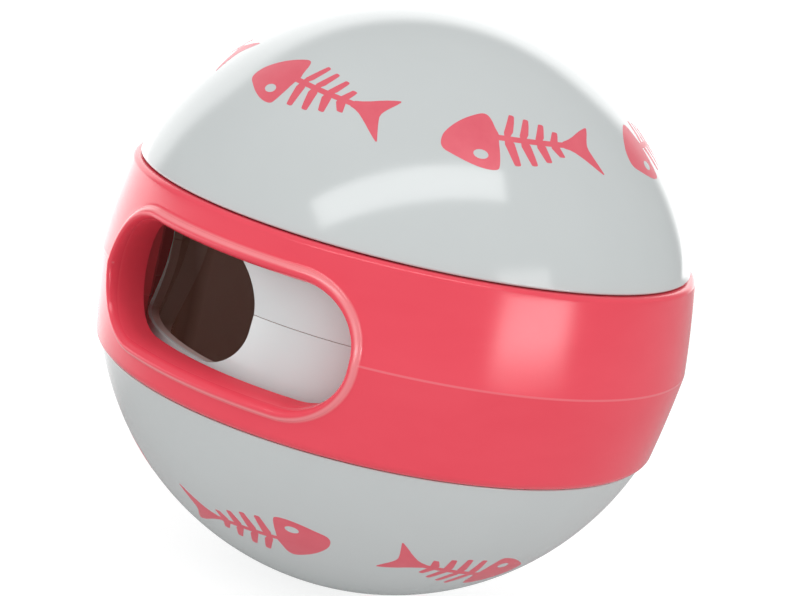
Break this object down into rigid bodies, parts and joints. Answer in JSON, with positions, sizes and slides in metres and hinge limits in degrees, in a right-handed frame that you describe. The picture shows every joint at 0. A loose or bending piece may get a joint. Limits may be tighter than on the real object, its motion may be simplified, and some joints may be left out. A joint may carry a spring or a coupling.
{
  "type": "treat dispensing ball",
  "caption": "Hollow snap-together pet toy ball with a turning waist ring whose window opens or covers a treat hole.",
  "frame": {"origin": "centre of the closed ball", "axes": "+Z along the ball's axis through the upper shell, -Y out through the middle of the ring's window"},
  "size_m": [0.0606, 0.0603, 0.06],
  "materials": {
    "pale_grey_abs": "smooth gloss",
    "coral_pp": "satin gloss"
  },
  "bodies": {
    "lower_body": {"lower_shell": "pale_grey_abs"},
    "upper_body": {"upper_shell": "pale_grey_abs"},
    "ring_body": {"opening_ring": "coral_pp"}
  },
  "joints": [
    {"name": "ring_turn", "type": "hinge", "parent": "lower_body", "child": "ring_body", "pos_m": [0, 0, 0], "axis": [0, 0, 1], "continuous": true},
    {"name": "upper_pull_off", "type": "slide", "parent": "lower_body", "child": "upper_body", "axis": [0, 0, 1], "range_m": [0, 0.06]}
  ]
}
